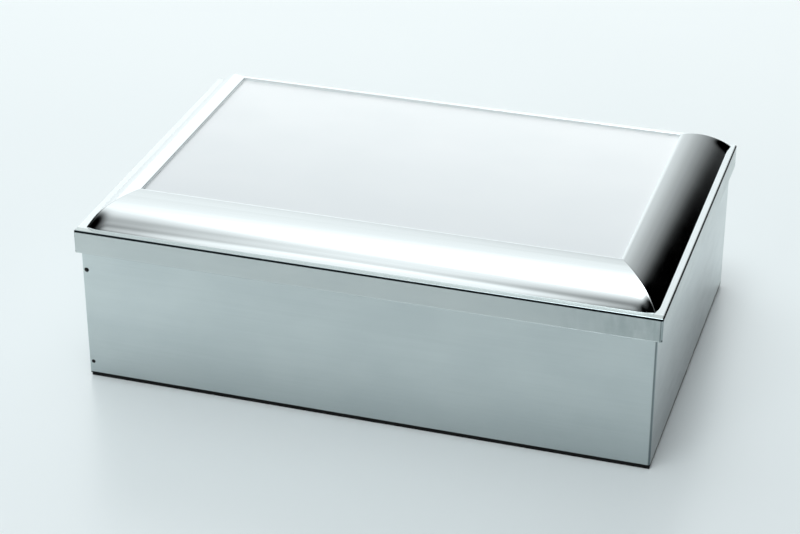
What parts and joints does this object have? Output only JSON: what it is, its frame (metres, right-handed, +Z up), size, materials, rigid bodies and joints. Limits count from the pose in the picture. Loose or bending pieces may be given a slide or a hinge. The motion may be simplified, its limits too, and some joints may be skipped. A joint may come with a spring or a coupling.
{
  "type": "metal tin",
  "caption": "Flat rectangular sheet-metal storage tin with a lift-off lid framed by mitred polished mouldings round a sunk satin panel.",
  "frame": {"origin": "on the table, under the middle of the box", "axes": "+X runs along the front to the right, +Y to the back, +Z up"},
  "size_m": [0.35, 0.231, 0.117],
  "materials": {
    "wall_tinplate": "satin rolled tinplate",
    "lid_tinplate": "satin rolled tinplate",
    "polished_moulding": "mirror polished",
    "satin_panel": "fine satin",
    "black_pad": "matt",
    "dark_rivet": "blackened",
    "bright_rivet": "plain",
    "plate_tinplate": "satin rolled tinplate",
    "key_alloy": "as cast",
    "board": "pressed board",
    "batten_wood": "planed softwood",
    "screw_steel": "zinc plated"
  },
  "bodies": {
    "box": {"front_right_wall": "wall_tinplate", "back_left_wall": "wall_tinplate", "corner_rivets_front_left": "dark_rivet", "corner_rivets_back_right": "dark_rivet", "base_plate": "plate_tinplate", "base_rivets": "bright_rivet", "base_pad": "black_pad"},
    "lid": {"lid_pan": "lid_tinplate", "moulding_front": "polished_moulding", "moulding_right": "polished_moulding", "moulding_back": "polished_moulding", "moulding_left": "polished_moulding", "corner_key_front_right": "key_alloy", "corner_key_back_right": "key_alloy", "corner_key_back_left": "key_alloy", "corner_key_front_left": "key_alloy", "lid_panel": "satin_panel", "backing_board": "board", "batten_front": "batten_wood", "batten_right": "batten_wood", "batten_back": "batten_wood", "batten_left": "batten_wood", "lid_screws": "screw_steel"}
  },
  "joints": [
    {"name": "lid_lift", "type": "slide", "parent": "box", "child": "lid", "axis": [0, 0, 1], "range_m": [0, 0.12]}
  ]
}
